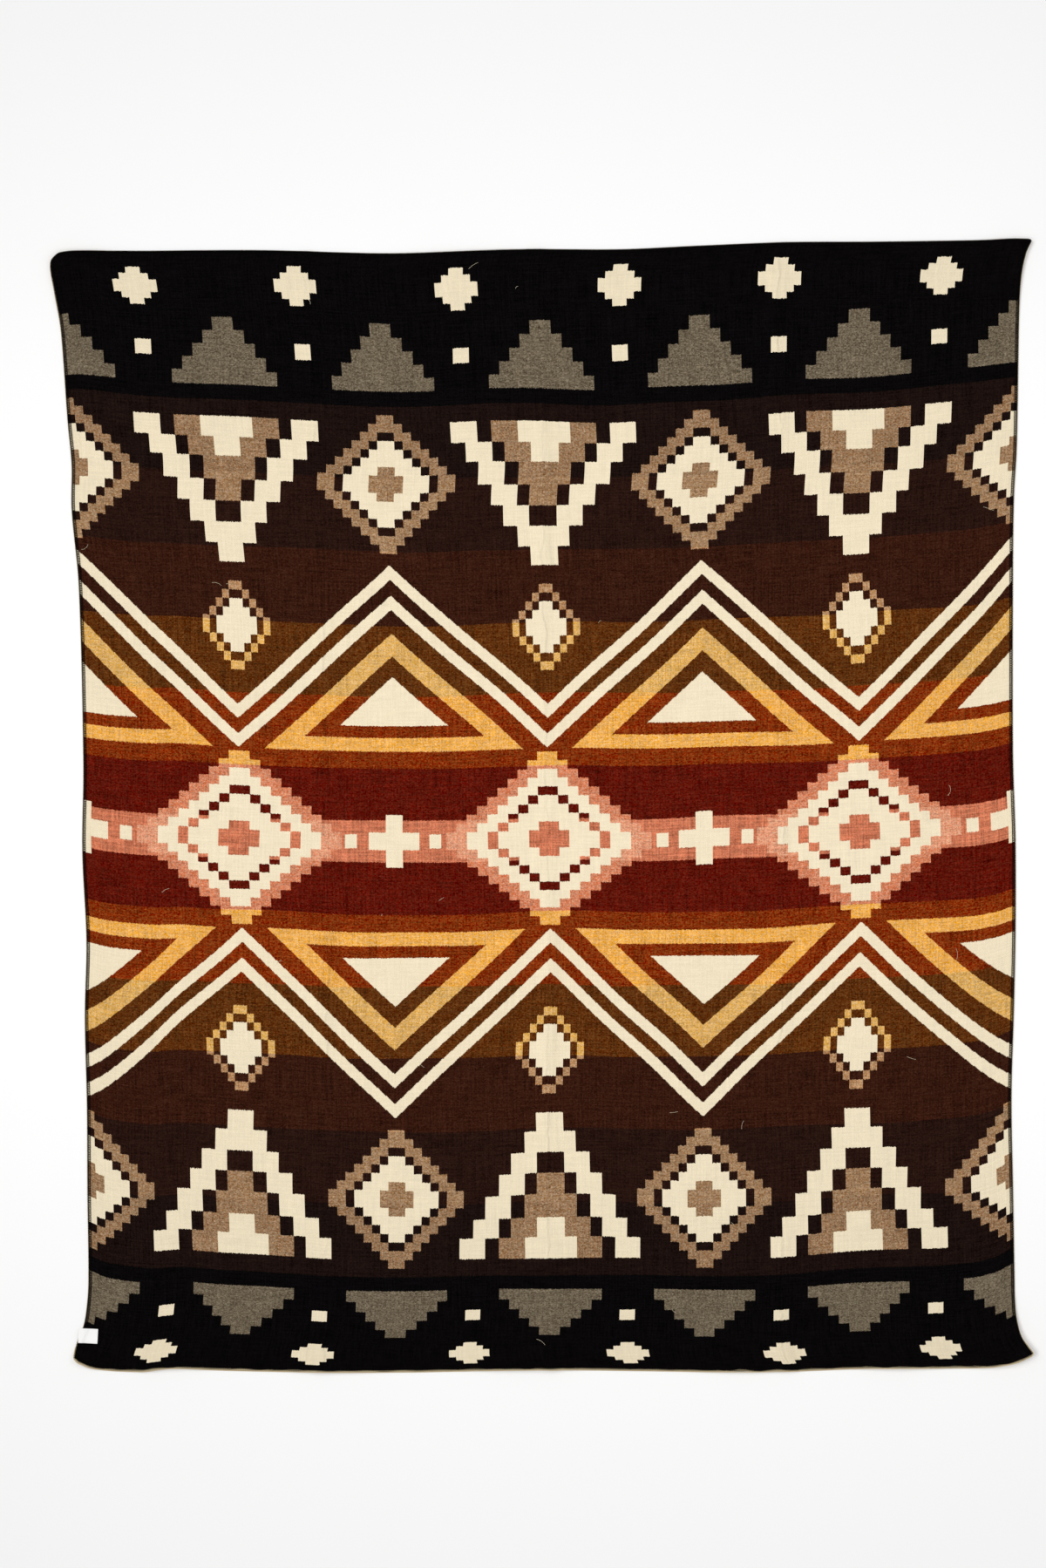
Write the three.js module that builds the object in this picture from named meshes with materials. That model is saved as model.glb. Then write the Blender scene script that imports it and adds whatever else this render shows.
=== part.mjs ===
// Alpaca throw blanket laid out face up on a flat surface, and the blank woven label at its lower left edge.
// Millimetres. The surface is z = 0, +Y runs from the hem to the top edge and +X to the right.
import * as THREE from "three";

// Cloth
const CLOTH_WIDTH = 1860; // mean, selvedge to selvedge
const CLOTH_THICKNESS = 2.6; // double weave with its brushed pile
const CELLS_ACROSS = 30;
const CELLS_ALONG = 34;

// Side edges by share of the length from the hem, in mm from the middle line.
// The sides are drawn in at mid height and the corners pull outwards.
const SIDE_EDGES = [
  { along: 0.0, left: -921, right: 958 },
  { along: 0.015, left: -915, right: 935 },
  { along: 0.03, left: -902, right: 926 },
  { along: 0.045, left: -896, right: 923 },
  { along: 0.07, left: -892, right: 922 },
  { along: 0.15, left: -894, right: 919 },
  { along: 0.23, left: -895, right: 916 },
  { along: 0.31, left: -899, right: 921 },
  { along: 0.38, left: -896, right: 924 },
  { along: 0.46, left: -904, right: 924 },
  { along: 0.54, left: -902, right: 919 },
  { along: 0.7, left: -911, right: 919 },
  { along: 0.77, left: -925, right: 921 },
  { along: 0.81, left: -925, right: 926 },
  { along: 0.85, left: -933, right: 928 },
  { along: 0.93, left: -946, right: 931 },
  { along: 0.967, left: -959, right: 935 },
  { along: 0.988, left: -966, right: 944 },
  { along: 1.0, left: -962, right: 956 },
];

// Top edge and hem by share of the width from the left, in mm from the middle of the length.
// The top edge sags a little on the left and climbs to the right, and the hem turns up at both corners.
const END_EDGES = [
  { across: 0.0, hem: -1088, top: 1079 },
  { across: 0.02, hem: -1104, top: 1085 },
  { across: 0.07, hem: -1110, top: 1086 },
  { across: 0.1, hem: -1103, top: 1086 },
  { across: 0.15, hem: -1107, top: 1087 },
  { across: 0.22, hem: -1110, top: 1087 },
  { across: 0.35, hem: -1111, top: 1081 },
  { across: 0.48, hem: -1106, top: 1089 },
  { across: 0.58, hem: -1108, top: 1089 },
  { across: 0.66, hem: -1110, top: 1096 },
  { across: 0.75, hem: -1109, top: 1103 },
  { across: 0.84, hem: -1103, top: 1104 },
  { across: 0.95, hem: -1102, top: 1107 },
  { across: 0.98, hem: -1092, top: 1109 },
  { across: 1.0, hem: -1075, top: 1108 },
];

// Soft ridges left by folding: the quarter, half and three-quarter lines.
const CREASES = [
  { across: 0.258, rise: 3.4, halfWidth: 17, sway: 5, breaks: 3.5, phase: 0.6 },
  { across: 0.497, rise: 4.2, halfWidth: 16, sway: 4, breaks: 2.5, phase: 2.1 },
  { across: 0.748, rise: 3.6, halfWidth: 18, sway: 6, breaks: 4.5, phase: 4.0 },
];
const CREASE_LOW = 0.35; // share of its rise that a crease keeps where it is faintest
const SWAY_WAVES = 2.3;

// Low swells where the cloth stands off the surface: centre by share, reach in mm.
const SWELLS = [
  { across: 0.12, along: 0.85, rise: 7, reachX: 120, reachY: 210 },
  { across: 0.37, along: 0.7, rise: 5, reachX: 150, reachY: 260 },
  { across: 0.63, along: 0.83, rise: 6, reachX: 140, reachY: 190 },
  { across: 0.88, along: 0.62, rise: 7, reachX: 110, reachY: 240 },
  { across: 0.17, along: 0.4, rise: 6, reachX: 130, reachY: 230 },
  { across: 0.6, along: 0.42, rise: 5, reachX: 160, reachY: 200 },
  { across: 0.87, along: 0.24, rise: 6, reachX: 130, reachY: 170 },
  { across: 0.36, along: 0.17, rise: 7, reachX: 170, reachY: 130 },
];

// Places where an edge lifts: the waves of the hem, then the four corners.
const EDGE_LIFTS = [
  { across: 0.1, along: 0.0, rise: 9, reachX: 55, reachY: 85 },
  { across: 0.27, along: 0.0, rise: 6, reachX: 80, reachY: 70 },
  { across: 0.47, along: 0.0, rise: 8, reachX: 95, reachY: 90 },
  { across: 0.7, along: 0.0, rise: 6, reachX: 90, reachY: 75 },
  { across: 0.86, along: 0.0, rise: 10, reachX: 70, reachY: 95 },
  { across: 0.42, along: 1.0, rise: 5, reachX: 120, reachY: 60 },
  { across: 0.0, along: 0.0, rise: 9, reachX: 50, reachY: 20 },
  { across: 1.0, along: 0.0, rise: 18, reachX: 80, reachY: 75 },
  { across: 0.0, along: 1.0, rise: 11, reachX: 90, reachY: 90 },
  { across: 1.0, along: 1.0, rise: 9, reachX: 85, reachY: 100 },
];
const TOUCH_DEPTH = 0.8; // height that settles back onto the surface, so that the cloth lies flat there
const HEM_ROWS = [0.008, 0.018, 0.045, 0.075]; // extra rows of cells where the hem and corners turn

// Label
const LABEL_WIDTH = 38;
const LABEL_HEIGHT = 29;
const LABEL_THICKNESS = 0.7;
const LABEL_GAP = 0.5; // clear of the cloth below its right end
const LABEL_CLIMB = 0.9; // how much higher its left end lies, over the sewn edge
const LABEL_CENTRE = { across: 0.0085, along: 0.025 };
const LABEL_TURN = -3; // degrees
const LABEL_CELLS = 4;

const CLOTH_COLOUR = "#2a1712";
const CLOTH_ROUGHNESS = 0.95;
const LABEL_COLOUR = "#f4f1ea";
const LABEL_ROUGHNESS = 0.7;

// Reads one column of a table along a smooth curve through its rows.
function readTable(rows, key, column, at) {
  const last = rows.length - 1;
  let row = 0;
  while (row < last - 1 && at > rows[row + 1][key]) row += 1;
  const slope = (index) => {
    const before = rows[Math.max(index - 1, 0)];
    const after = rows[Math.min(index + 1, last)];
    return (after[column] - before[column]) / (after[key] - before[key]);
  };
  const span = rows[row + 1][key] - rows[row][key];
  const u = (at - rows[row][key]) / span;
  const ease = u * u * (3 - 2 * u);
  const leave = u * (1 - u) * (1 - u) * slope(row) * span;
  const arrive = u * u * (1 - u) * slope(row + 1) * span;
  return THREE.MathUtils.lerp(rows[row][column], rows[row + 1][column], ease) + leave - arrive;
}

// Plan position of a point of the cloth, given by its shares of the width and the length.
function planPoint(across, along) {
  const left = readTable(SIDE_EDGES, "along", "left", along);
  const right = readTable(SIDE_EDGES, "along", "right", along);
  const hem = readTable(END_EDGES, "across", "hem", across);
  const top = readTable(END_EDGES, "across", "top", across);
  return new THREE.Vector2(
    THREE.MathUtils.lerp(left, right, across),
    THREE.MathUtils.lerp(hem, top, along),
  );
}

// A round-topped mound that falls away as a bell curve.
function mound(point, { across, along, rise, reachX, reachY }) {
  const centre = planPoint(across, along);
  const x = (point.x - centre.x) / reachX;
  const y = (point.y - centre.y) / reachY;
  return rise * Math.exp(-x * x - y * y);
}

// A fold line that sways, and fades and returns along its length.
function creaseHeight(point, along, { across, rise, halfWidth, sway, breaks, phase }) {
  const line = planPoint(across, along).x + sway * Math.sin(2 * Math.PI * SWAY_WAVES * along + phase);
  const strength = CREASE_LOW + (1 - CREASE_LOW) * Math.sin(Math.PI * breaks * along + phase) ** 2;
  const x = (point.x - line) / halfWidth;
  return rise * strength * Math.exp(-x * x);
}

// Height of the cloth's underside over the surface it lies on.
function liftAt(across, along) {
  const point = planPoint(across, along);
  let lift = -TOUCH_DEPTH;
  for (const crease of CREASES) lift += creaseHeight(point, along, crease);
  for (const swell of SWELLS) lift += mound(point, swell);
  for (const edge of EDGE_LIFTS) lift += mound(point, edge);
  return Math.max(lift, 0);
}

// Closes a sheet of cells between an upper and a lower grid of points, each a list of rows.
function sheetGeometry(upper, lower) {
  const rows = upper.length;
  const columns = upper[0].length;
  const points = [...upper.flat(), ...lower.flat()];
  const top = (row, column) => row * columns + column;
  const under = (row, column) => rows * columns + top(row, column);
  const faces = [];
  const quad = (a, b, c, d) => faces.push(a, b, c, a, c, d);
  for (let row = 0; row < rows - 1; row += 1) {
    for (let column = 0; column < columns - 1; column += 1) {
      quad(top(row, column), top(row, column + 1), top(row + 1, column + 1), top(row + 1, column));
      quad(under(row, column), under(row + 1, column), under(row + 1, column + 1), under(row, column + 1));
    }
    quad(top(row + 1, 0), under(row + 1, 0), under(row, 0), top(row, 0));
    quad(top(row, columns - 1), under(row, columns - 1), under(row + 1, columns - 1), top(row + 1, columns - 1));
  }
  for (let column = 0; column < columns - 1; column += 1) {
    quad(top(0, column), under(0, column), under(0, column + 1), top(0, column + 1));
    quad(top(rows - 1, column + 1), under(rows - 1, column + 1), under(rows - 1, column), top(rows - 1, column));
  }
  const geometry = new THREE.BufferGeometry();
  geometry.setFromPoints(points);
  geometry.setIndex(faces);
  geometry.computeVertexNormals();
  return geometry;
}

// Even stations from 0 to 1, with the extra ones in place of those that they crowd.
function stations(cells, extra) {
  const clear = 0.45 / cells;
  const even = Array.from({ length: cells + 1 }, (_, index) => index / cells);
  const kept = even.filter(
    (at) => at === 0 || at === 1 || extra.every((other) => Math.abs(other - at) > clear),
  );
  return [...kept, ...extra].sort((a, b) => a - b);
}

function clothGeometry() {
  const creaseColumns = CREASES.flatMap(({ across, halfWidth }) =>
    [-1, 0, 1].map((side) => across + (side * halfWidth) / CLOTH_WIDTH),
  );
  const columns = stations(CELLS_ACROSS, creaseColumns);
  const rows = stations(CELLS_ALONG, HEM_ROWS);
  const grid = (raise) =>
    rows.map((along) =>
      columns.map((across) => {
        const plan = planPoint(across, along);
        return new THREE.Vector3(plan.x, plan.y, liftAt(across, along) + raise);
      }),
    );
  return sheetGeometry(grid(CLOTH_THICKNESS), grid(0));
}

// The label slopes up from its right end, and its left end stands past the selvedge.
function labelGeometry() {
  const centre = planPoint(LABEL_CENTRE.across, LABEL_CENTRE.along);
  const turn = THREE.MathUtils.degToRad(LABEL_TURN);
  const base = liftAt(LABEL_CENTRE.across, LABEL_CENTRE.along) + CLOTH_THICKNESS + LABEL_GAP;
  const steps = Array.from({ length: LABEL_CELLS + 1 }, (_, index) => index / LABEL_CELLS - 0.5);
  const grid = (raise) =>
    steps.map((row) =>
      steps.map((column) => {
        const flat = new THREE.Vector2(column * LABEL_WIDTH, row * LABEL_HEIGHT);
        flat.rotateAround(new THREE.Vector2(), turn).add(centre);
        return new THREE.Vector3(flat.x, flat.y, base + LABEL_CLIMB * (0.5 - column) + raise);
      }),
    );
  return sheetGeometry(grid(LABEL_THICKNESS), grid(0));
}

function namedMesh(name, geometry, color, roughness) {
  const material = new THREE.MeshStandardMaterial({ color, roughness, metalness: 0 });
  const mesh = new THREE.Mesh(geometry, material);
  mesh.name = name;
  return mesh;
}

const throwBlanket = new THREE.Group();
throwBlanket.name = "alpaca_throw";
throwBlanket.add(namedMesh("throw", clothGeometry(), CLOTH_COLOUR, CLOTH_ROUGHNESS));
throwBlanket.add(namedMesh("label", labelGeometry(), LABEL_COLOUR, LABEL_ROUGHNESS));

// The origin is the middle of the throw's outline, on the surface.
const outline = new THREE.Box3().setFromObject(throwBlanket);
const middle = outline.getCenter(new THREE.Vector3());
throwBlanket.position.set(-middle.x, -middle.y, 0);
throwBlanket.updateMatrixWorld(true);

export default throwBlanket;
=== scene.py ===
"""Alpaca throw blanket laid out face up, with its overlocked edge, its blank label and some lint.

Lengths are metres unless a name ends in _MM. The cloth repeats the solid's named sizes and tables."""

import math
import random

import bmesh
import bpy
import numpy as np
from bpy.props import FloatProperty, FloatVectorProperty, PointerProperty
from mathutils import Matrix, Vector, noise
from mathutils.bvhtree import BVHTree


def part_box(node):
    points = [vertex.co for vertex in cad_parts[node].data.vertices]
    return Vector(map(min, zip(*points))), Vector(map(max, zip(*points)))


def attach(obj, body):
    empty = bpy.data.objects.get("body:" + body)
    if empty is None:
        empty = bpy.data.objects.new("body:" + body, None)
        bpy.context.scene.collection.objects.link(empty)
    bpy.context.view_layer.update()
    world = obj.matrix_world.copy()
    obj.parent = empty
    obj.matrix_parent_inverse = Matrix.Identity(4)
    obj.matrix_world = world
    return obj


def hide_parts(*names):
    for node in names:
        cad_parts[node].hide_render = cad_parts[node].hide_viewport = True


bl_info = {
    "name": "Alpaca Throw Blanket",
    "version": (1, 0, 0),
    "blender": (4, 5, 0),
    "location": "3D View > Sidebar > Throw",
    "description": "Weaves, overlocks and labels an alpaca throw blanket",
    "category": "Add Mesh",
}

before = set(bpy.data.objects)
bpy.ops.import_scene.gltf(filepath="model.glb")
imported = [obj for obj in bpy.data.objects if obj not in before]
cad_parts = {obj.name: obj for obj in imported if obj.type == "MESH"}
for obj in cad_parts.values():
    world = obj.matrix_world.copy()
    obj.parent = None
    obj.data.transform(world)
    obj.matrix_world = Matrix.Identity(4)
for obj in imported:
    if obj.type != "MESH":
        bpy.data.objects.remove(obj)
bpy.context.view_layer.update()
THROW_LOW, THROW_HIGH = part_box("throw")
LABEL_LOW, LABEL_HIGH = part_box("label")
ROOT = "root"
MM = 0.001

# Outline of the cloth: side edges by share of the length from the hem,
# and hem and top edge by share of the width from the left.
SIDE_EDGES_MM = {
    "along": (0, 0.015, 0.03, 0.045, 0.07, 0.15, 0.23, 0.31, 0.38, 0.46, 0.54, 0.7, 0.77, 0.81, 0.85, 0.93,
              0.967, 0.988, 1),
    "left": (-921, -915, -902, -896, -892, -894, -895, -899, -896, -904, -902, -911, -925, -925, -933, -946,
             -959, -966, -962),
    "right": (958, 935, 926, 923, 922, 919, 916, 921, 924, 924, 919, 919, 921, 926, 928, 931, 935, 944, 956),
}
END_EDGES_MM = {
    "across": (0, 0.02, 0.07, 0.1, 0.15, 0.22, 0.35, 0.48, 0.58, 0.66, 0.75, 0.84, 0.95, 0.98, 1),
    "hem": (-1088, -1104, -1110, -1103, -1107, -1110, -1111, -1106, -1108, -1110, -1109, -1103, -1102, -1092,
            -1075),
    "top": (1079, 1085, 1086, 1086, 1087, 1087, 1081, 1089, 1089, 1096, 1103, 1104, 1107, 1109, 1108),
}

# Fold ridges: across, rise, half width, sway, breaks, phase. The first three are the solid's own,
# and the rest are the fine wrinkles beside them.
CREASES_MM = (
    (0.258, 3.4, 17, 5, 3.5, 0.6),
    (0.497, 4.2, 16, 4, 2.5, 2.1),
    (0.748, 3.6, 18, 6, 4.5, 4.0),
)
FINE_CREASES_MM = (
    (0.250, 1.3, 6, 7, 8.5, 1.9),
    (0.269, 1.0, 5, 6, 6.5, 0.2),
    (0.488, 1.2, 5, 5, 7.5, 3.3),
    (0.504, 1.4, 6, 6, 9.5, 5.1),
    (0.739, 1.1, 6, 8, 6.5, 2.6),
    (0.757, 1.3, 5, 6, 8.5, 4.4),
    (0.125, 0.7, 8, 9, 3.5, 1.2),
    (0.873, 0.7, 8, 9, 4.5, 0.4),
)
CREASE_LOW = 0.35
FINE_CREASE_LOW = 0.0
SWAY_WAVES = 2.3

# Swells and lifted edges: across, along, rise, reach across, reach along.
MOUNDS_MM = (
    (0.12, 0.85, 7, 120, 210),
    (0.37, 0.7, 5, 150, 260),
    (0.63, 0.83, 6, 140, 190),
    (0.88, 0.62, 7, 110, 240),
    (0.17, 0.4, 6, 130, 230),
    (0.6, 0.42, 5, 160, 200),
    (0.87, 0.24, 6, 130, 170),
    (0.36, 0.17, 7, 170, 130),
    (0.1, 0.0, 9, 55, 85),
    (0.27, 0.0, 6, 80, 70),
    (0.47, 0.0, 8, 95, 90),
    (0.7, 0.0, 6, 90, 75),
    (0.86, 0.0, 10, 70, 95),
    (0.42, 1.0, 5, 120, 60),
    (0.0, 0.0, 9, 50, 20),
    (1.0, 0.0, 18, 80, 75),
    (0.0, 1.0, 11, 90, 90),
    (1.0, 1.0, 9, 85, 100),
)
TOUCH_DEPTH_MM = 0.8

# Mesh of the cloth
CELLS_ACROSS = 196
CELLS_ALONG = 238
STATION_SAMPLES = 4001  # samples from which the crowded rows and columns are found
CROWD_WIDTH = 0.02  # share of the size round a crease or an edge where the cells crowd together
CROWD_GAIN = 1.6
CORNER_RADII = {(0, 0): 0.009, (0, -1): 0.006, (-1, 0): 0.015, (-1, -1): 0.006}  # by row and column
COCKLE_SIZE = 0.085  # wavelength of the cloth's small unevenness
COCKLE_RISE = 0.0011
RIM_WIDTH = 0.006  # band along the edge that the overlock squeezes
RIM_LIFT = 0.0009
RIM_THICKNESS = 0.0015

# Weave coordinates: where the pattern's middle line lies, how the weft bows, and how the hem end squashes.
MIDDLE_ALONG = 0.4736
BOW_POWER = 3
BOW = {"along": (0, 0.06, 0.5, 0.88, 1), "depth": (0.006, 0.022, 0.02, 0.034, 0)}
SQUASH_FROM = 0.85  # distance from the middle line
SQUASH = 3.2
WANDER = 0.005  # how far the threads drift off their lines, twice over, and the distance over which they do
WANDER_SIZE = 0.2
WEFT_SLIP = 0.5  # how far, in weave units, one warp thread's end of a figure may lie off its neighbour's

# Figures on each side of the pattern's middle line: places and sizes along the length, or across from an axis
CROSS_ARM = 0.051
CROSS_HALF_WIDTH = 0.017
SPOT_PLACE = 0.085  # across, beside the cross
SPOT_HALF_WIDTH = 0.012
ZIGZAG_SLOPE = 0.9
ZIGZAG_PEAK = 0.47
ZIGZAG_HALF_WIDTH = 0.0136
ZIGZAG_APART = 0.058
POCKET = (0.060, 0.176)  # of the ringed triangle: distance under the zigzag, and place of its base
POCKET_RING = (0.104, 0.203)  # inner sides of the ring, the same way
POCKET_CORE = (0.145, 0.229)
KITE_PLACE = 0.415
PYRAMID_ENDS = (0.5355, 0.8211)
PYRAMID_STEP = (0.0255, 0.0408)  # across and along
STAR_PLACE = 0.700
TEETH_FROM = 0.884
SQUARE_PLACE = 0.955
SQUARE_HALF_WIDTH = 0.0153
END_DIAMOND_PLACE = 1.085

# Yarn: how strongly it varies in the plain bands, in the mixed figures and in the cream ones
FLECKS, MIXED_FLECKS = 1.7, 1.1
SPECKLE, MIXED_SPECKLE, CREAM_SPECKLE = 0.28, 0.38, 0.03
STREAKS, MIXED_STREAKS, CREAM_STREAKS = 0.62, 0.34, 0.10
FLECK_BY_FLOAT, FLECK_BY_GRAIN = 0.6, 2.4
NUB_SHADE_POWER, NUB_SHADE_MEAN, NUB_SHADE_DEPTH = 0.4, 0.78, 0.45  # roundness of each thread's nub, and the mean brightness and depth of the painted shade that darkens the gaps between threads
STREAK_STRETCHES = ((1.0, 0.035, 1.0), (0.05, 1.0, 1.0))  # along the warp, and along the weft
STREAK_SCALE, BLOTCH_SCALE, GRAIN_SCALE, FUZZ_SCALE, TWIST_SCALE = 330.0, 26.0, 300.0, 420.0, 1400.0
THREAD_RISE, FUZZ_RISE = 0.00022, 0.0006
TWIST_DEPTH, TWIST_LOW = 1.1, 0.45

# Sharp lines along the old folds, finer than the mesh
FOLD_LINE_WIDTH = 0.0045
FOLD_LINE_HEIGHT = 0.0026
FOLD_LINE_WANDER = 0.035
FOLD_LINE_WANDER_SCALE = 14.0
FOLD_LINE_BREAKS = (90.0, 9.0, 1.0)

# Overlock: how far the thread from the underside shows past the rim, by share of the length from the hem.
UNDER_THREAD_SHOWS_MM = {
    "along": (0, 0.012, 0.03, 0.3, 0.6, 0.88, 0.95, 0.985, 1),
    "left": (2.6, 2.0, 0.7, 0.3, 0.6, 0.5, 2.4, 1.6, -1.2),
    "right": (2.2, 1.4, 0.4, 0.7, 0.3, 0.6, 1.0, 0.8, -1.2),
}
UNDER_THREAD_SHOWS_HEM = 0.0042
UNDER_THREAD_VARIES = 0.9  # share by which that changes along the hem
FACE_THREAD_SHORT = 0.0004  # how far short of the rim's outermost line the face's loops turn back
FACE_THREAD_SHORT_HEM = 0.0026
FACE_THREAD_VARIES = 0.8
JITTER = 0.0004
JITTER_SIZE = 0.004
NEEDLE_INSET = 0.0002
NEEDLE_DIP, NEEDLE_RISE = -1.5, 0.6  # in thread radii, at a stitch's hole and between two holes
NEEDLE_STRIDE = 2
CHAIN_REACH = 0.011  # share of the length up to which a chain of the cream thread shows along the edge
CHAIN_SWING = 0.0007
POINTS_A_STITCH = 8
RIM_TURN_INSET = 0.0007
PATCH_SIZE = 0.035  # wavelength along the hem of the stitches' unevenness

# Lint on the face
LINT_COUNT = 26
LINT_SEED = 12
LINT_LENGTHS = (0.004, 0.024)
LINT_POINTS = 8
LINT_RADIUS = 0.00022
LINT_ARCH = 0.0012

# Camera and photograph: 1200 by 1799 pixels at this many metres a pixel.
PHOTO_SCALE = 0.00171
PHOTO_SIZE = (1200, 1799)
FRAME_ZERO_PIXEL = (621.0, 924.2)
CAMERA_HEIGHT = 6.2
SENSOR_MM = 36

# Stage: where the key light comes from and how wide it is, the softbox that lies across above the middle,
# and the floor, which is just clear of the cloth.
KEY_FROM = (-0.6, 0.1, 1.0)
KEY_SPREAD = math.radians(25)
STRIP_PLACE = (0.0, 0.1, 2.0)
STRIP_SIZE = (3.4, 0.8)
FLOOR_REACH = 60
FLOOR_DROP = 0.0002


def linear(hex_colour):
    """Linear RGB of an sRGB colour written as six hexadecimal digits."""
    shares = [int(hex_colour[i : i + 2], 16) / 255 for i in (0, 2, 4)]
    return tuple(s / 12.92 if s <= 0.04045 else ((s + 0.055) / 1.055) ** 2.4 for s in shares)


def colour(name, description, hex_colour):
    return FloatVectorProperty(
        name=name, description=description, subtype="COLOR", size=3, min=0, max=1, default=linear(hex_colour)
    )


def length(name, description, default):
    return FloatProperty(
        name=name, description=description, default=default, min=0, unit="LENGTH", precision=4
    )


def strength(name, description, default):
    return FloatProperty(name=name, description=description, default=default, min=0)


class ThrowSizes(bpy.types.PropertyGroup):
    """Sizes of the cloth, its yarn and its figures."""

    cloth_width: length("Cloth width", "Mean width from selvedge to selvedge", 1.86)
    cloth_length: length("Cloth length", "Length from hem to top edge", 2.196)
    cloth_thickness: length("Cloth thickness", "Both layers of the weave with their pile", 0.0026)
    weave_unit: length("Weave unit", "Side of the smallest block of the pattern", 0.0034)
    figure_pitch: length("Figure pitch", "Distance from one large figure to the next", 0.62)
    stitch_pitch: length("Stitch pitch", "Distance from one overlock stitch to the next", 0.0035)
    stitch_reach: length("Stitch reach", "How far the overlock reaches in from the edge", 0.0052)
    thread_radius: length("Thread radius", "Radius of the overlock thread", 0.00075)
    label_width: length("Label width", "Size of the label across the throw", 0.038)
    label_height: length("Label height", "Size of the label along the throw", 0.029)
    label_thickness: length("Label thickness", "Thickness of the label tape", 0.0005)


class YarnColours(bpy.types.PropertyGroup):
    """Colours of the yarns and the label. The weft bands add theirs below."""

    cream: colour("Cream", "Undyed yarn of the figures and the reverse", "F4E5C6")
    black_thread: colour("Black thread", "Overlock thread of the face", "0E0C0C")
    cream_thread: colour("Cream thread", "Overlock thread of the underside, and lint", "D9C6A0")
    label: colour("Label", "Woven label tape", "FFFEFC")


# Bands from the middle line outwards: the outer edge's distance, the yarn, its colour,
# and the colour of its lighter mixture with cream.
BANDS = (
    (0.040, "coral", "CA7656", "E09A78"),
    (0.138, "maroon", "5D160B", "D28462"),
    (0.284, "rust", "80310D", "ECAD58"),
    (0.424, "olive", "5C3111", "DDAD64"),
    (0.565, "brown", "371B11", "B58B64"),
    (0.708, "umber", "281611", "A17F5E"),
    (0.850, "sable", "1D120F", "9A795A"),
    (1.300, "black", "0B090A", "706452"),
)
for _, yarn, plain, mixed in BANDS:
    YarnColours.__annotations__[yarn] = colour(yarn.capitalize(), "Yarn of the weft bands", plain)
    YarnColours.__annotations__[yarn + "_mixed"] = colour(
        yarn.capitalize() + " mixture", "That yarn woven with cream", mixed
    )


class StageSettings(bpy.types.PropertyGroup):
    """Light and floor. The three lights together show a flat white thing in the middle as just white."""

    key: strength("Key light", "Strength of the soft light from the left", 1.14)
    strip_power: strength("Strip power", "Power of the long overhead softbox", 19.6)
    fill: strength("Fill light", "Strength of the even light from all round", 0.46)
    floor: colour("Floor", "Pale floor", "F1F1F1")
    floor_glow: strength("Floor glow", "Light the floor gives off", 0.12)


# Cloth surface


def read_table(table, key, column, at):
    """One column of a table along a smooth curve through its rows, at an array of places."""
    keys = np.array(table[key], float)
    values = np.array(table[column], float)
    at = np.asarray(at, float)
    row = np.clip(np.searchsorted(keys, at, side="left") - 1, 0, len(keys) - 2)
    before = np.maximum(np.arange(len(keys)) - 1, 0)
    after = np.minimum(np.arange(len(keys)) + 1, len(keys) - 1)
    slopes = (values[after] - values[before]) / (keys[after] - keys[before])
    span = keys[row + 1] - keys[row]
    u = (at - keys[row]) / span
    ease = u * u * (3 - 2 * u)
    leave = u * (1 - u) ** 2 * slopes[row] * span
    arrive = u * u * (1 - u) * slopes[row + 1] * span
    return values[row] + (values[row + 1] - values[row]) * ease + leave - arrive


def plan_mm(across, along):
    """Plan position of a point of the cloth, from its shares of the width and the length."""
    left = read_table(SIDE_EDGES_MM, "along", "left", along)
    right = read_table(SIDE_EDGES_MM, "along", "right", along)
    hem = read_table(END_EDGES_MM, "across", "hem", across)
    top = read_table(END_EDGES_MM, "across", "top", across)
    return left + (right - left) * across, hem + (top - hem) * along


def ridges_mm(x, along, creases, low):
    """Height of the fold lines, which sway, fade and return along the length."""
    total = np.zeros_like(x)
    for across, rise, half_width, sway, breaks, phase in creases:
        line = plan_mm(across, along)[0] + sway * np.sin(2 * np.pi * SWAY_WAVES * along + phase)
        strength = low + (1 - low) * np.sin(np.pi * breaks * along + phase) ** 2
        total += rise * strength * np.exp(-(((x - line) / half_width) ** 2))
    return total


def lift_mm(across, along):
    """Height of the cloth's underside over the surface that it lies on."""
    x, y = plan_mm(across, along)
    lift = ridges_mm(x, along, CREASES_MM, CREASE_LOW) - TOUCH_DEPTH_MM
    for centre_across, centre_along, rise, reach_x, reach_y in MOUNDS_MM:
        centre_x, centre_y = plan_mm(centre_across, centre_along)
        lift += rise * np.exp(-(((x - centre_x) / reach_x) ** 2) - ((y - centre_y) / reach_y) ** 2)
    return np.maximum(lift + ridges_mm(x, along, FINE_CREASES_MM, FINE_CREASE_LOW), 0)


def smooth_noise(x, y, size, layer=0.0):
    """Noise over the plan, about -0.5 to 0.5, that changes over the given distance."""
    values = [noise.noise(Vector((a / size, b / size, layer))) for a, b in zip(x.flat, y.flat)]
    return np.array(values).reshape(x.shape)


def cockle(x, y):
    """Small random unevenness of the surface, from 0 to COCKLE_RISE."""
    return COCKLE_RISE * np.clip(0.5 + smooth_noise(x, y, COCKLE_SIZE), 0, 1)


def crowded_stations(cells, places):
    """Shares from 0 to 1 that lie closer together round the given places."""
    fine = np.linspace(0, 1, STATION_SAMPLES)
    density = np.ones_like(fine)
    for place in places:
        density += CROWD_GAIN * np.exp(-(((fine - place) / CROWD_WIDTH) ** 2))
    running = np.concatenate([[0], np.cumsum((density[1:] + density[:-1]) / 2)])
    return np.interp(np.linspace(0, 1, cells + 1), running / running[-1], fine)


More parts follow.
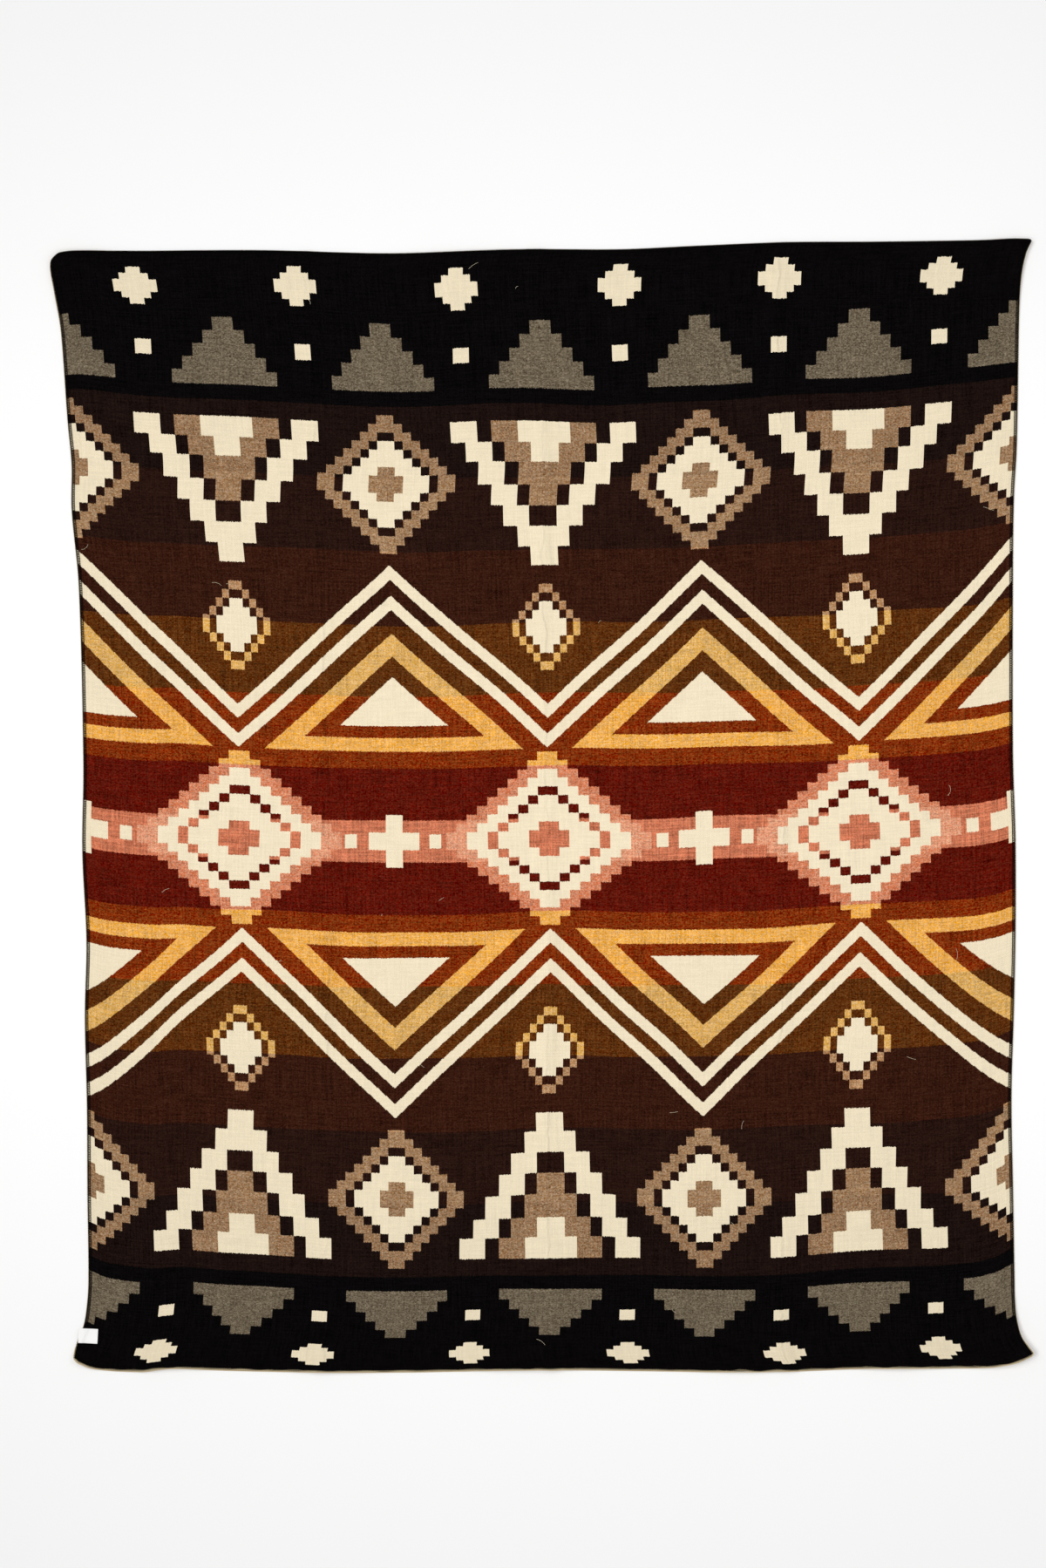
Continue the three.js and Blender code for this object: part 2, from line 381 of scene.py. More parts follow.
class ClothSurface:
    """Points of the cloth on a grid of rows from the hem up and columns from the left."""

    def __init__(self, sizes):
        columns = crowded_stations(CELLS_ACROSS, [0, *(crease[0] for crease in CREASES_MM), 1])
        rows = crowded_stations(CELLS_ALONG, [0, 1])
        self.across, self.along = np.meshgrid(columns, rows)
        x, y = (values * MM for values in plan_mm(self.across, self.along))
        for (row, column), radius in CORNER_RADII.items():
            x, y = self.round_corner(x, y, row, column, radius)
        middle = (THROW_LOW + THROW_HIGH) / 2
        self.x = x + middle.x - (x.min() + x.max()) / 2
        self.y = y + middle.y - (y.min() + y.max()) / 2
        from_sides = np.minimum(self.across, 1 - self.across) * sizes.cloth_width
        from_ends = np.minimum(self.along, 1 - self.along) * sizes.cloth_length
        squeeze = np.clip(1 - np.minimum(from_sides, from_ends) / RIM_WIDTH, 0, 1) ** 2
        lift = lift_mm(self.across, self.along) * MM
        free = np.clip(lift / (2 * MM), 0, 1)
        self.under = lift + RIM_LIFT * squeeze + free * cockle(self.x, self.y)
        thickness = sizes.cloth_thickness + (RIM_THICKNESS - sizes.cloth_thickness) * squeeze
        self.top = self.under + thickness + (1 - squeeze) * 0.5 * cockle(self.y, self.x)

    def round_corner(self, x, y, row, column, radius):
        """Pulls the square at one corner of the outline onto a quarter circle."""
        inward_x = 1 if column == 0 else -1
        inward_y = 1 if row == 0 else -1
        p = 1 - (x - x[row, column]) * inward_x / radius
        q = 1 - (y - y[row, column]) * inward_y / radius
        near = (p > 0) & (q > 0)
        p, q = np.clip(p, 0, 1), np.clip(q, 0, 1)
        x = np.where(near, x + inward_x * radius * p * (1 - np.sqrt(1 - q * q / 2)), x)
        y = np.where(near, y + inward_y * radius * q * (1 - np.sqrt(1 - p * p / 2)), y)
        return x, y

    def weave_coordinates(self, sizes):
        """Where each point lies on the woven pattern: across, and along from the pattern's middle line."""
        u = (self.across - 0.5) * sizes.cloth_width
        v = (self.along - MIDDLE_ALONG) * sizes.cloth_length
        past = np.clip(-v - SQUASH_FROM, 0, None)
        v -= SQUASH * past**2
        v -= read_table(BOW, "along", "depth", self.along) * np.abs(2 * self.across - 1) ** BOW_POWER
        u += WANDER * smooth_noise(self.x, self.y, WANDER_SIZE, 3.3)
        v += WANDER * smooth_noise(self.x, self.y, WANDER_SIZE, 7.7)
        return u, v

    def rim(self):
        """Edge points x, y, middle height, across and along, anticlockwise from the lower left corner."""
        values = np.stack([self.x, self.y, (self.top + self.under) / 2, self.across, self.along], axis=-1)
        return np.concatenate([values[0, :-1], values[:-1, -1], values[-1, :0:-1], values[:0:-1, 0]])


def new_object(name, data):
    piece = bpy.data.objects.new(name, data)
    bpy.context.scene.collection.objects.link(piece)
    return piece


def finished_mesh(bm, name):
    mesh = bpy.data.meshes.new(name)
    bm.to_mesh(mesh)
    bm.free()
    mesh.shade_smooth()
    return mesh


def two_sided_grid(name, under, top, weave=None):
    """A closed sheet from rows of points for each side, which have materials of their own.

    The rows of weave, if given, are the UV coordinates."""
    rows, columns = len(under) - 1, len(under[0]) - 1
    bm = bmesh.new()
    place = bm.verts.layers.int.new("place")
    grid = bmesh.ops.create_grid(bm, x_segments=columns, y_segments=rows, size=0.5)
    for vertex in grid["verts"]:
        column, row = round((vertex.co.x + 0.5) * columns), round((vertex.co.y + 0.5) * rows)
        vertex[place] = row * (columns + 1) + column
        vertex.co = under[row][column]
    under_faces = bm.faces[:]
    raised = bmesh.ops.extrude_face_region(bm, geom=under_faces, use_keep_orig=True)["geom"]
    for vertex in (item for item in raised if isinstance(item, bmesh.types.BMVert)):
        row, column = divmod(vertex[place], columns + 1)
        vertex.co = top[row][column]
    bmesh.ops.reverse_faces(bm, faces=under_faces)
    for face in under_faces:
        face.material_index = 1
    if weave is not None:
        uv = bm.loops.layers.uv.new("Weave")
        for loop in (loop for face in bm.faces for loop in face.loops):
            row, column = divmod(loop.vert[place], columns + 1)
            loop[uv].uv = weave[row][column]
    bm.verts.layers.int.remove(place)
    return new_object(name, finished_mesh(bm, name))


def thread_mesh(name, paths, radius, closed, material):
    """A mesh of round threads along the paths, each an array of points."""
    curve = bpy.data.curves.new(name, "CURVE")
    curve.dimensions = "3D"
    curve.bevel_depth = radius
    curve.bevel_resolution = 0
    curve.use_fill_caps = not closed
    for path in paths:
        spline = curve.splines.new("POLY")
        spline.points.add(len(path) - 1)
        spline.points.foreach_set("co", np.c_[path, np.ones(len(path))].ravel())
        spline.use_cyclic_u = closed
    guide = new_object(name + "_path", curve)
    bpy.context.view_layer.update()
    mesh = bpy.data.meshes.new_from_object(guide.evaluated_get(bpy.context.evaluated_depsgraph_get()))
    bpy.data.objects.remove(guide)
    bpy.data.curves.remove(curve)
    mesh.name = name
    mesh.shade_smooth()
    mesh.materials.clear()
    mesh.materials.append(material)
    piece = new_object(name, mesh)
    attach(piece, ROOT)
    return piece


class ClothHeights:
    """Heights of the finished cloth's two sides at any place, found by looking straight down and up."""

    def __init__(self, cloth):
        self.tree = BVHTree.FromObject(cloth, bpy.context.evaluated_depsgraph_get())

    def at(self, x, y, upper, fallback):
        start, way = (1.0, -1.0) if upper else (-1.0, 1.0)
        found = self.tree.ray_cast(Vector((x, y, start)), Vector((0, 0, way)))[0]
        return found.z if found else fallback

    def along_path(self, places, upper, fallback):
        return np.array([self.at(x, y, upper, z) for (x, y), z in zip(places, fallback)])


# Node trees


def math_method(operation):
    """A method that works on a wire with one Math node."""
    return lambda wire, *others: wire.math(operation, *others)


class Wire:
    """A value in a node tree. Arithmetic and comparisons on it add Math nodes to the tree."""

    def __init__(self, tree, socket):
        self.tree = tree
        self.socket = socket

    def math(self, operation, *others):
        node = self.tree.nodes.new("ShaderNodeMath")
        node.operation = operation
        for entry, value in zip(node.inputs, (self, *others)):
            plug(self.tree, entry, value)
        return Wire(self.tree, node.outputs[0])

    __add__ = math_method("ADD")
    __sub__ = math_method("SUBTRACT")
    __mul__ = math_method("MULTIPLY")
    __truediv__ = math_method("DIVIDE")
    __lt__ = math_method("LESS_THAN")
    __gt__ = math_method("GREATER_THAN")
    __and__ = math_method("MINIMUM")
    __or__ = math_method("MAXIMUM")
    __abs__ = math_method("ABSOLUTE")
    ceil = math_method("CEIL")
    floor = math_method("FLOOR")
    fold = math_method("PINGPONG")  # distance from the nearest multiple of twice the reach

    def less_from(self, value):
        """The given number less this value."""
        return self.math("MULTIPLY_ADD", -1.0, value)


def plug(tree, entry, value):
    """Feeds a node's entry from a wire or a socket, or sets it to a plain value."""
    if isinstance(value, Wire):
        value = value.socket
    if isinstance(value, bpy.types.NodeSocket):
        tree.links.new(value, entry)
    else:
        entry.default_value = value


def add_node(tree, kind, inputs=(), **settings):
    node = tree.nodes.new(kind)
    for name, value in settings.items():
        setattr(node, name, value)
    for name, value in dict(inputs).items():
        plug(tree, node.inputs[name], value)
    return node


def new_group(name, entries, results):
    """A shader node group with its own input and output sockets, each given as (kind, name, default)."""
    tree = bpy.data.node_groups.new(name, "ShaderNodeTree")
    for kind, label, default in entries:
        socket = tree.interface.new_socket(label, in_out="INPUT", socket_type="NodeSocket" + kind)
        if default is not None:
            socket.default_value = default
    for kind, label in results:
        tree.interface.new_socket(label, in_out="OUTPUT", socket_type="NodeSocket" + kind)
    return tree, tree.nodes.new("NodeGroupInput"), tree.nodes.new("NodeGroupOutput")


def use_group(tree, group, **inputs):
    node = tree.nodes.new("ShaderNodeGroup")
    node.node_tree = group
    for name, value in inputs.items():
        plug(tree, node.inputs[name.capitalize()], value)
    return node


def mix_colours(tree, share, first, second, blend="MIX"):
    """Mixes two colours. A share below 0 takes the first colour away from the second."""
    node = tree.nodes.new("ShaderNodeMix")
    node.data_type = "RGBA"
    node.blend_type = blend
    node.clamp_factor = False
    node.clamp_result = True
    plug(tree, node.inputs["Factor"], share)
    plug(tree, node.inputs[6], first)
    plug(tree, node.inputs[7], second)
    return node.outputs[2]


def shaded(tree, yarn, brightness):
    return mix_colours(tree, 1.0, yarn, brightness, "MULTIPLY")


def by_mask(mask, plain, mixed):
    """One number where the mask is 0 and another where it is 1."""
    return mask * (mixed - plain) + plain


def split(tree, vector):
    """The first two parts of a vector."""
    parts = add_node(tree, "ShaderNodeSeparateXYZ", {"Vector": vector})
    return Wire(tree, parts.outputs["X"]), Wire(tree, parts.outputs["Y"])


def combine(tree, x, y):
    return add_node(tree, "ShaderNodeCombineXYZ", {"X": x, "Y": y}).outputs[0]


def stretched(tree, place, scale):
    return add_node(tree, "ShaderNodeMapping", {"Vector": place, "Scale": scale}).outputs["Vector"]


def cloudy_noise(tree, place, scale, detail, **inputs):
    """Soft noise at a place, from 0 to 1."""
    inputs = {"Vector": place, "Scale": scale, "Detail": detail, **inputs}
    return Wire(tree, add_node(tree, "ShaderNodeTexNoise", inputs).outputs["Fac"])


def random_value(tree, dimensions, entry, place):
    """A random number from 0 to 1 for each place, which is a whole number or a pair of them."""
    node = add_node(tree, "ShaderNodeTexWhiteNoise", {entry: place}, noise_dimensions=dimensions)
    return Wire(tree, node.outputs["Value"])


def add_bump(tree, shader, height, strength, distance):
    bump = add_node(tree, "ShaderNodeBump", {"Height": height, "Strength": strength, "Distance": distance})
    plug(tree, shader.inputs["Normal"], bump.outputs["Normal"])


def steps(first, first_size, second, second_size):
    """Counts stepped rings round a point, from 2 at the middle."""
    return (first / first_size).ceil() + (second / second_size).ceil()


def between(value, low, high):
    return (value > low) & (value < high)


def woven_places(x, y, slip, step, half_pitch):
    """Places in whole steps of the weave.

    They are the place across, the distance from the middle line, and the distances from a figure's axis
    and from the line between two axes."""
    x = ((x / step).floor() + 0.5) * step
    y = ((y / step + slip * WEFT_SLIP).floor() + 0.5) * step
    on_axis = x.fold(half_pitch)
    return x, abs(y), on_axis, on_axis.less_from(half_pitch)


def weave_figures_group(sizes):
    """Masks of the woven figures, in blocks of one weave unit: stepped diamonds and crosses along the middle,
    a double zigzag with triangles under its peaks, nested pyramids, stepped diamonds and a toothed border."""
    entries = [("Vector", "Weave", None)]
    results = [("Float", "Cream"), ("Float", "Mixed"), ("Float", "Distance")]
    tree, start, end = new_group("Woven Figures", entries, results)
    across, away = split(tree, start.outputs["Weave"])
    unit = sizes.weave_unit
    half_pitch = sizes.figure_pitch / 2
    slip = random_value(tree, "1D", "W", (across / (unit / 2)).floor())
    x, t, on_axis, off_axis = woven_places(across, away, slip, unit, half_pitch)
    _, fine_t, _, fine_off_axis = woven_places(across, away, slip, unit / 2, half_pitch)

    diamond = steps(on_axis, 6 * unit, t, 5 * unit)
    cream = between(diamond, 3.5, 6.5) | between(diamond, 7.5, 9.5)
    mixed = between(diamond, 9.5, 11.5)

    cream |= ((off_axis | t) < CROSS_ARM) & ((off_axis & t) < CROSS_HALF_WIDTH)
    cream |= (abs(off_axis - SPOT_PLACE) | t) < SPOT_HALF_WIDTH

    under_peak = (fine_off_axis * ZIGZAG_SLOPE + fine_t).less_from(ZIGZAG_PEAK)
    cream |= abs(under_peak) < ZIGZAG_HALF_WIDTH
    cream |= abs(under_peak + ZIGZAG_APART) < ZIGZAG_HALF_WIDTH
    in_pocket = (under_peak > POCKET[0]) & (t > POCKET[1])
    mixed |= in_pocket & ((under_peak < POCKET_RING[0]) | (t < POCKET_RING[1]))
    cream |= (under_peak > POCKET_CORE[0]) & (t > POCKET_CORE[1])

    kite = steps(on_axis, 4 * unit, abs(t - KITE_PLACE), 5 * unit)
    cream |= kite < 4.5
    mixed |= between(kite, 5.5, 6.5)

    nested = ((t - PYRAMID_ENDS[0]) / PYRAMID_STEP[1]).ceil() - (on_axis / PYRAMID_STEP[0]).ceil()
    pyramid = between(t, *PYRAMID_ENDS)
    cream |= pyramid & between(nested, -0.5, 1.5)
    mixed |= pyramid & between(nested, 2.5, 4.5)
    cream |= pyramid & (nested > 4.5)

    star = steps(off_axis, 5 * unit, abs(t - STAR_PLACE), 5 * unit)
    mixed |= star < 3.5
    cream |= between(star, 3.5, 6.5)
    mixed |= between(star, 7.5, 9.5)

    tooth = x.fold(half_pitch / 2)
    gap = tooth.less_from(half_pitch / 2)
    mixed |= (t > TEETH_FROM) & (steps(tooth, 6 * unit, t - TEETH_FROM, 8 * unit) < 6.5)
    cream |= (gap | abs(t - SQUARE_PLACE)) < SQUARE_HALF_WIDTH
    cream |= steps(gap, 4 * unit, abs(t - END_DIAMOND_PLACE), 4 * unit) < 4.5

    plug(tree, end.inputs["Cream"], cream)
    plug(tree, end.inputs["Mixed"], mixed)
    plug(tree, end.inputs["Distance"], t)
    return tree


def yarn_bands_group(colours):
    """Ground and mixture colours of the weft bands, by distance from the middle line."""
    entries = [("Float", "Distance", 0.0)]
    results = [("Color", "Ground"), ("Color", "Mixture")]
    tree, start, end = new_group("Weft Bands", entries, results)
    whole = BANDS[-1][0]
    place = Wire(tree, start.outputs["Distance"]) / whole
    for result, ending in (("Ground", ""), ("Mixture", "_mixed")):
        ramp = add_node(tree, "ShaderNodeValToRGB", {"Fac": place})
        ramp.color_ramp.interpolation = "CONSTANT"
        stops = ramp.color_ramp.elements
        inner = 0.0
        for index, (outer, yarn, *_) in enumerate(BANDS):
            stop = stops[index] if index < 2 else stops.new(inner / whole)
            stop.position = inner / whole
            stop.color = (*getattr(colours, yarn + ending), 1)
            inner = outer
        plug(tree, end.inputs[result], ramp.outputs["Color"])
    return tree


def heather_group(sizes):
    """Uneven brightness: speckle by thread, streaks along weft and warp, blotches, and painted shade between
    threads.

    Fleck, about -1 to 1, says how much undyed fibre shows, float by float."""
    entries = [("Vector", "Weave", None), ("Float", "Speckle", 0.1), ("Float", "Streaks", 0.05)]
    results = [("Float", "Brightness"), ("Float", "Fleck")]
    tree, start, end = new_group("Heather", entries, results)
    weave, streaks = start.outputs["Weave"], start.outputs["Streaks"]
    thread = sizes.weave_unit / 2
    x, y = (part / thread for part in split(tree, weave))
    by_thread = random_value(tree, "2D", "Vector", combine(tree, x.floor(), y.floor()))
    total = (by_thread * 2 - 1) * start.outputs["Speckle"]
    # Painted shade between the threads: each nub is brighter at its crest and darker in the gaps round it
    nub_shade = (abs((x * math.pi).math("SINE")) * abs((y * math.pi).math("SINE"))).math("POWER", NUB_SHADE_POWER)
    total = total + (nub_shade - NUB_SHADE_MEAN) * NUB_SHADE_DEPTH
    for stretch in STREAK_STRETCHES:
        streak = cloudy_noise(tree, stretched(tree, weave, stretch), STREAK_SCALE, 2.0)
        total = total + (streak * 2 - 1) * streaks
    blotch = cloudy_noise(tree, weave, BLOTCH_SCALE, 4.0, Roughness=0.65)
    total = total + (blotch - 0.5) * streaks
    plug(tree, end.inputs["Brightness"], total + 1)
    by_float = random_value(tree, "2D", "Vector", combine(tree, (x / 2).floor(), y.floor()))
    grain = cloudy_noise(tree, weave, GRAIN_SCALE, 2.0)
    plug(tree, end.inputs["Fleck"], (by_float * 2 - 1) * FLECK_BY_FLOAT + (grain - 0.5) * FLECK_BY_GRAIN)
    return tree


def thread_relief_group(sizes):
    """Height in metres of the threads, their brushed fuzz, and the sharp lines along the old folds."""
    entries = [("Vector", "Weave", None)]
    tree, start, end = new_group("Thread Relief", entries, [("Float", "Height")])
    weave = start.outputs["Weave"]
    x, y = split(tree, weave)
    turn = 2 * math.pi / sizes.weave_unit
    over = (x * turn).math("SINE") * (y * turn).math("SINE")
    height = over * THREAD_RISE + cloudy_noise(tree, weave, FUZZ_SCALE, 3.0) * FUZZ_RISE
    wander = cloudy_noise(tree, weave, FOLD_LINE_WANDER_SCALE, 4.0)
    swayed = x + (wander - 0.5) * FOLD_LINE_WANDER
    depth = cloudy_noise(tree, stretched(tree, weave, FOLD_LINE_BREAKS), 1.0, 3.0)
    for across, *_ in CREASES_MM:
        line = abs(swayed - (across - 0.5) * sizes.cloth_width) / FOLD_LINE_WIDTH
        height = height + (line.less_from(1.0) | 0.0) * depth * FOLD_LINE_HEIGHT
    plug(tree, end.inputs["Height"], height)
    return tree


def new_material(name):
    """A material whose Principled shader is matt cloth, and its node tree."""
    material = bpy.data.materials.new(name)
    material.use_nodes = True
    shader = material.node_tree.nodes["Principled BSDF"]
    shader.inputs["Roughness"].default_value = 1.0
    shader.inputs["Specular IOR Level"].default_value = 0.0
    return material, material.node_tree, shader


def weave_material(name, groups, is_reverse, colours):
    """The double weave seen from one side.

    On the reverse the yarns change places, so that the ground is cream and the figures are banded."""
    material, tree, shader = new_material(name)
    weave = add_node(tree, "ShaderNodeUVMap", uv_map="Weave").outputs["UV"]
    figures = use_group(tree, groups["figures"], weave=weave)
    bands = use_group(tree, groups["bands"], distance=figures.outputs["Distance"])
    cream_mask = Wire(tree, figures.outputs["Cream"])
    mixed_mask = Wire(tree, figures.outputs["Mixed"])
    if is_reverse:
        cream_mask = (cream_mask | mixed_mask).less_from(1.0)
    cream_mask = cream_mask & 1.0
    cream = (*colours.cream, 1)
    banded = mix_colours(tree, mixed_mask & 1.0, bands.outputs["Ground"], bands.outputs["Mixture"])
    paleness = Wire(tree, add_node(tree, "ShaderNodeRGBToBW", {"Color": banded}).outputs["Val"])
    depth = paleness.less_from(1.0)
    speckle = by_mask(mixed_mask, SPECKLE, MIXED_SPECKLE) * depth
    streaks = by_mask(mixed_mask, STREAKS, MIXED_STREAKS)
    heather = use_group(tree, groups["heather"], weave=weave, speckle=speckle, streaks=streaks)
    quiet = use_group(tree, groups["heather"], weave=weave, speckle=CREAM_SPECKLE, streaks=CREAM_STREAKS)
    undyed = mix_colours(tree, mixed_mask & 1.0, bands.outputs["Mixture"], cream)
    flecks = paleness * depth * heather.outputs["Fleck"] * by_mask(mixed_mask, FLECKS, MIXED_FLECKS)
    # The heather's brightness holds the yarn's tone and also painted shade in the gaps between the threads
    banded = shaded(tree, mix_colours(tree, flecks, banded, undyed), heather.outputs["Brightness"])
    cream = shaded(tree, cream, quiet.outputs["Brightness"])
    plug(tree, shader.inputs["Base Color"], mix_colours(tree, cream_mask, banded, cream))
    relief = use_group(tree, groups["relief"], weave=weave)
    add_bump(tree, shader, relief.outputs["Height"], 0.9, 1.0)
    return material


def thread_twist_group():
    """Fine unevenness of a twisted thread's brightness and height, built at its first use."""
    name = "Thread Twist"
    if name in bpy.data.node_groups:
        return bpy.data.node_groups[name]
    results = [("Float", "Brightness"), ("Float", "Height")]
    tree, start, end = new_group(name, [("Vector", "Place", None)], results)
    twist = cloudy_noise(tree, start.outputs["Place"], TWIST_SCALE, 2.0)
    plug(tree, end.inputs["Brightness"], twist * TWIST_DEPTH + TWIST_LOW)
    plug(tree, end.inputs["Height"], twist)
    return tree


def thread_material(name, yarn):
    """Twisted thread of one yarn, on object coordinates."""
    material, tree, shader = new_material(name)
    place = add_node(tree, "ShaderNodeTexCoord").outputs["Object"]
    twist = use_group(tree, thread_twist_group(), place=place)
    plug(tree, shader.inputs["Base Color"], shaded(tree, (*yarn, 1), twist.outputs["Brightness"]))
    add_bump(tree, shader, twist.outputs["Height"], 0.5, 0.0002)
    return material


def label_material(colours):
    """Satin tape: white, with the fine cross ribs of its weave."""
    material, tree, shader = new_material("Label tape")
    place = add_node(tree, "ShaderNodeTexCoord").outputs["Object"]
    inputs = {"Vector": place, "Scale": 420.0, "Distortion": 1.0, "Detail": 1.0}
    ribs = add_node(tree, "ShaderNodeTexWave", inputs, bands_direction="Y").outputs["Fac"]
    brightness = Wire(tree, ribs) * 0.06 + 0.94
    plug(tree, shader.inputs["Base Color"], shaded(tree, (*colours.label, 1), brightness))
    add_bump(tree, shader, ribs, 0.25, 0.0002)
    shader.inputs["Roughness"].default_value = 0.55
    shader.inputs["Specular IOR Level"].default_value = 0.3
    return material


class THROW_OT_weave_cloth(bpy.types.Operator):
    """Weave the cloth on the solid's folds, with its figures and bands on both sides"""

    bl_idname = "throw.weave_cloth"
    bl_label = "Weave Cloth"

    def execute(self, context):
        sizes, colours = context.scene.throw_sizes, context.scene.throw_colours
        surface = ClothSurface(sizes)
        u, v = surface.weave_coordinates(sizes)
        under, top = (np.dstack([surface.x, surface.y, z]) for z in (surface.under, surface.top))
        cloth = two_sided_grid("woven_cloth", under, top, np.dstack([u, v]))
        groups = {
            "figures": weave_figures_group(sizes),
            "bands": yarn_bands_group(colours),
            "heather": heather_group(sizes),
            "relief": thread_relief_group(sizes),
        }
        cloth.data.materials.append(weave_material("Throw face", groups, False, colours))
        cloth.data.materials.append(weave_material("Throw reverse", groups, True, colours))
        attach(cloth, ROOT)
        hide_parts("throw")
        return {"FINISHED"}


class Rim:
    """The edge of the cloth walked at even steps, several to a stitch."""

    def __init__(self, sizes, heights):
        corners = ClothSurface(sizes).rim()
        closed = np.vstack([corners, corners[:1]])
        run = np.concatenate([[0], np.cumsum(np.linalg.norm(np.diff(closed[:, :2], axis=0), axis=1))])
        count = round(run[-1] / sizes.stitch_pitch) * POINTS_A_STITCH
        self.way = np.arange(count) * run[-1] / count
        values = np.stack([np.interp(self.way, run, column) for column in closed.T], axis=1)
        self.place, self.middle = values[:, :2], values[:, 2]
        self.across, self.along = values[:, 3], values[:, 4]
        ahead = np.roll(self.place, -POINTS_A_STITCH, axis=0) - np.roll(self.place, POINTS_A_STITCH, axis=0)
        ahead /= np.linalg.norm(ahead, axis=1)[:, None]
        self.outward = np.stack([ahead[:, 1], -ahead[:, 0]], axis=1)
        self.phase = (np.arange(count) % POINTS_A_STITCH) / POINTS_A_STITCH
        self.heights = heights
        self.radius = sizes.thread_radius
        self.flat = sizes.stitch_reach - RIM_TURN_INSET
        self.tall = RIM_THICKNESS / 2 + self.radius
        self.turn = math.pi * self.tall
        self.whole = 2 * self.flat + self.turn

    def unevenness(self, seed, size=PATCH_SIZE):
        """Smooth noise round the rim, from about -0.7 to 0.7."""
        return np.array([noise.noise(Vector((way / size, seed, 0))) for way in self.way])

    def path(self, reached):
        """Points at a distance round the section, which is from 0 to whole.

        It runs from the inner line on the underside out to the rim, round it, and back on the face."""
        angle = np.clip((reached - self.flat) / self.turn, 0, 1) * math.pi - math.pi / 2
        out = np.cos(angle) * self.tall - RIM_TURN_INSET
        out -= np.clip(self.flat - reached, 0, None) + np.clip(reached - self.flat - self.turn, 0, None)
        places = self.place + self.outward * out[:, None]
        round_rim = self.middle + np.sin(angle) * self.tall
        below = self.heights.along_path(places, False, round_rim + self.radius) - self.radius
        above = self.heights.along_path(places, True, round_rim - self.radius) + self.radius
        z = np.where(reached > self.flat + self.turn, above, round_rim)
        z = np.where(reached < self.flat, below, z)
        return np.c_[places, np.maximum(z, self.radius)]


def under_thread_shows(rim):
    """How far past the rim's outermost line the underside's thread comes up, all round."""
    left = read_table(UNDER_THREAD_SHOWS_MM, "along", "left", rim.along) * MM
    right = read_table(UNDER_THREAD_SHOWS_MM, "along", "right", rim.along) * MM
    shows = np.where(rim.across < 0.5, left, right)
    hem = UNDER_THREAD_SHOWS_HEM * (1 + UNDER_THREAD_VARIES * rim.unevenness(3))
    return np.where(rim.along <= 0, hem, shows)


class THROW_OT_overlock_edge(bpy.types.Operator):
    """Overlock all four edges with black loops, cream loops, a cream chain and a black needle line"""

    bl_idname = "throw.overlock_edge"
    bl_label = "Overlock Edge"

    def execute(self, context):
        sizes, colours = context.scene.throw_sizes, context.scene.throw_colours
        rim = Rim(sizes, ClothHeights(bpy.data.objects["woven_cloth"]))
        half = rim.whole / 2
        black = thread_material("Black thread", colours.black_thread)
        cream = thread_material("Cream thread", colours.cream_thread)
        swing = np.sin(math.pi * rim.phase)
        jitter = JITTER * rim.unevenness(11, size=JITTER_SIZE)
        under = rim.path(swing * (half + under_thread_shows(rim) + 2 * jitter) + jitter)

        swing = np.roll(swing, POINTS_A_STITCH // 2)
        short_on_hem = FACE_THREAD_SHORT_HEM * (1 + FACE_THREAD_VARIES * rim.unevenness(5))
        short = np.where(rim.along <= 0, short_on_hem, FACE_THREAD_SHORT)
        face = rim.path(rim.whole - swing * (half - short) - jitter)

        chain = rim.path(half + CHAIN_SWING * np.sin(2 * math.pi * rim.phase) + jitter)
        chain[:, :2] += rim.outward * sizes.thread_radius
        near_hem = rim.along < CHAIN_REACH
        first = np.flatnonzero(near_hem & ~np.roll(near_hem, 1))[0]
        chain = np.roll(chain, -first, axis=0)[: near_hem.sum()]

        needle = rim.path(rim.whole - NEEDLE_INSET + jitter)
        needle[:, 2] += np.where(rim.phase == 0, NEEDLE_DIP, NEEDLE_RISE) * sizes.thread_radius
        threads = (
            ("overlock_under", under, True, cream),
            ("overlock_chain", chain, False, cream),
            ("overlock_face", face, True, black),
            ("overlock_needle", needle[::NEEDLE_STRIDE], True, black),
        )
        for name, path, closed, material in threads:
            piece = thread_mesh(name, [path], sizes.thread_radius, closed, material)
        return {"FINISHED"}


